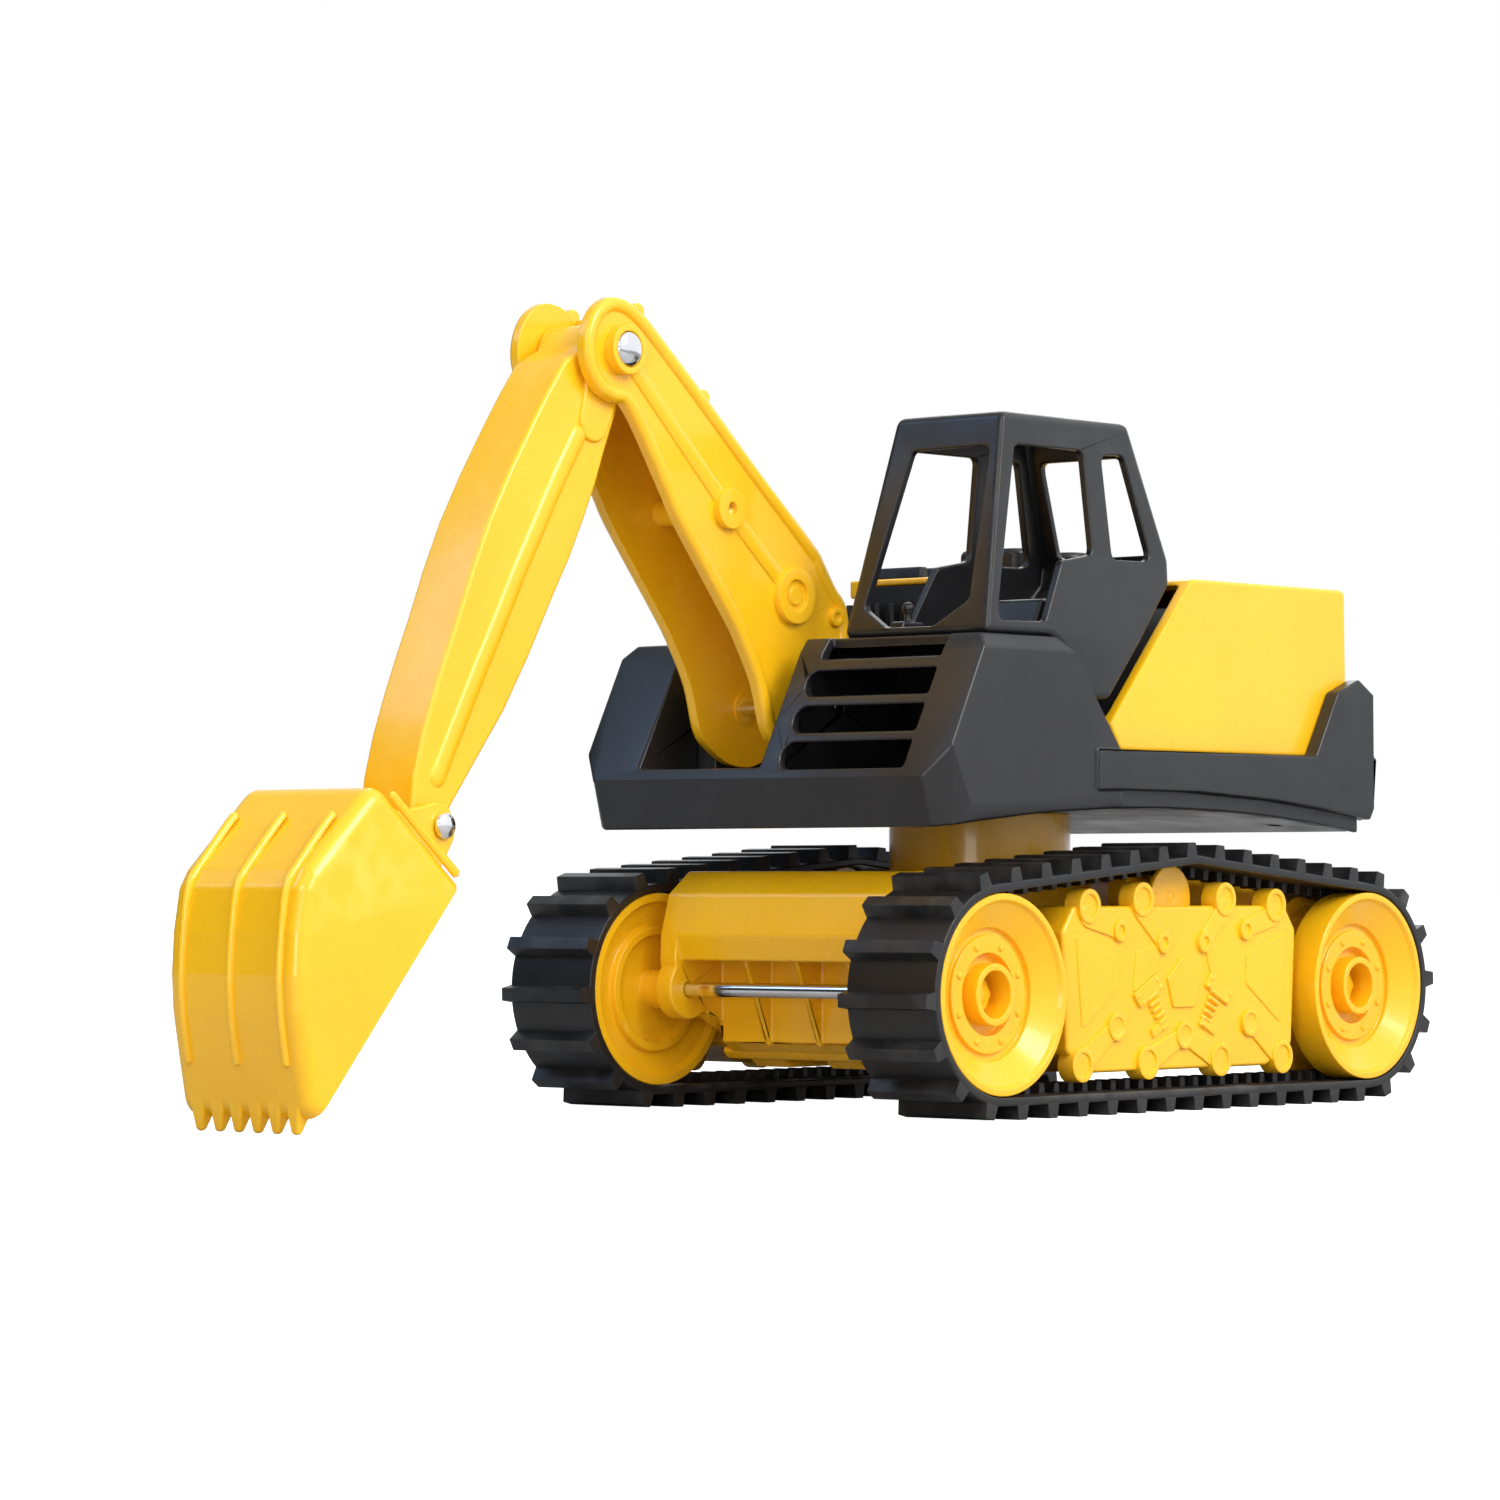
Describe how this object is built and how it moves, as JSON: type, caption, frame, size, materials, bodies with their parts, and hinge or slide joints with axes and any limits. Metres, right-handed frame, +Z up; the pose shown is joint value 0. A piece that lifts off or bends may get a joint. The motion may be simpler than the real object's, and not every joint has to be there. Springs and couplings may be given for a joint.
{
  "type": "toy excavator",
  "caption": "Yellow and black toy excavator on rubber tracks, with a turning cab house, an offset jointed digging arm and a toothed bucket.",
  "frame": {"origin": "middle of the overall bounding box in plan, on the ground the tracks stand on", "axes": "+X forward along the tracks, towards the bucket; +Y to the machine's left, where the cab is; +Z up"},
  "size_m": [0.509, 0.1986, 0.2849],
  "materials": {
    "yellow_plastic": "gloss moulded",
    "black_plastic": "satin moulded",
    "belt_rubber": "satin rubber",
    "plated_steel": "polished plating"
  },
  "bodies": {
    "undercarriage": {"chassis_frame": "yellow_plastic", "turntable_column": "yellow_plastic", "belly_plate": "yellow_plastic", "side_cover_left": "yellow_plastic", "side_cover_right": "yellow_plastic", "track_belt_left": "belt_rubber", "track_belt_right": "belt_rubber", "front_axle": "plated_steel", "rear_axle": "plated_steel", "axle_caps": "yellow_plastic", "chassis_screws": "plated_steel", "swing_washer": "plated_steel", "swing_screw": "plated_steel", "roller_pins": "plated_steel"},
    "roller_left": {"carrier_roller_left": "yellow_plastic"},
    "roller_right": {"carrier_roller_right": "yellow_plastic"},
    "wheel_fl": {"wheel_front_left": "yellow_plastic"},
    "wheel_fr": {"wheel_front_right": "yellow_plastic"},
    "wheel_rl": {"wheel_rear_left": "yellow_plastic"},
    "wheel_rr": {"wheel_rear_right": "yellow_plastic"},
    "house": {"house_deck": "black_plastic", "house_floor": "black_plastic", "floor_screws": "plated_steel", "cab_shell": "black_plastic", "cab_seat": "black_plastic", "control_console": "black_plastic", "engine_hood": "yellow_plastic", "louvre_panel": "black_plastic", "hood_ribs": "black_plastic", "exhaust_stacks": "black_plastic", "arm_bracket_left": "black_plastic", "arm_bracket_right": "black_plastic", "grille_strip": "yellow_plastic", "boom_base_pin": "plated_steel"},
    "boom": {"boom_left_half": "yellow_plastic", "boom_right_half": "yellow_plastic", "boom_web": "yellow_plastic", "boom_tie_rod": "plated_steel", "boom_tip_pin": "plated_steel", "boom_pin_caps": "plated_steel"},
    "stick": {"stick_left_half": "yellow_plastic", "stick_right_half": "yellow_plastic", "bucket_pin": "plated_steel", "bucket_pin_caps": "plated_steel"},
    "bucket": {"bucket_shell": "yellow_plastic"}
  },
  "joints": [
    {"name": "house_swing", "type": "hinge", "parent": "undercarriage", "child": "house", "pos_m": [-0.10103, 0, 0.11], "axis": [0, 0, 1], "continuous": true},
    {"name": "boom_lift", "type": "hinge", "parent": "house", "child": "boom", "pos_m": [-0.01554, -0.028, 0.1454], "axis": [0, -1, 0], "range_deg": [-11, 30]},
    {"name": "stick_swing", "type": "hinge", "parent": "boom", "child": "stick", "pos_m": [0.08484, -0.028, 0.26672], "axis": [0, -1, 0], "range_deg": [-22, 35]},
    {"name": "bucket_curl", "type": "hinge", "parent": "stick", "child": "bucket", "pos_m": [0.17389, -0.028, 0.10062], "axis": [0, -1, 0], "range_deg": [-60, 50]},
    {"name": "wheel_front_left_spin", "type": "hinge", "parent": "undercarriage", "child": "wheel_fl", "pos_m": [0.00914, 0.0796, 0.0432], "axis": [0, 1, 0], "continuous": true},
    {"name": "wheel_rear_left_spin", "type": "hinge", "parent": "undercarriage", "child": "wheel_rl", "pos_m": [-0.21121, 0.0796, 0.0432], "axis": [0, 1, 0], "continuous": true},
    {"name": "wheel_front_right_spin", "type": "hinge", "parent": "undercarriage", "child": "wheel_fr", "pos_m": [0.00914, -0.0796, 0.0432], "axis": [0, 1, 0], "continuous": true},
    {"name": "wheel_rear_right_spin", "type": "hinge", "parent": "undercarriage", "child": "wheel_rr", "pos_m": [-0.21121, -0.0796, 0.0432], "axis": [0, 1, 0], "continuous": true},
    {"name": "roller_left_spin", "type": "hinge", "parent": "undercarriage", "child": "roller_left", "pos_m": [-0.10304, 0.0796, 0.0763], "axis": [0, 1, 0], "continuous": true},
    {"name": "roller_right_spin", "type": "hinge", "parent": "undercarriage", "child": "roller_right", "pos_m": [-0.10304, -0.0796, 0.0763], "axis": [0, 1, 0], "continuous": true}
  ],
  "couplings": [
    {"joint": "wheel_rear_left_spin", "follows": "wheel_front_left_spin", "ratio": 1},
    {"joint": "wheel_rear_right_spin", "follows": "wheel_front_right_spin", "ratio": 1},
    {"joint": "roller_left_spin", "follows": "wheel_front_left_spin", "ratio": 2.9167},
    {"joint": "roller_right_spin", "follows": "wheel_front_right_spin", "ratio": 2.9167}
  ]
}
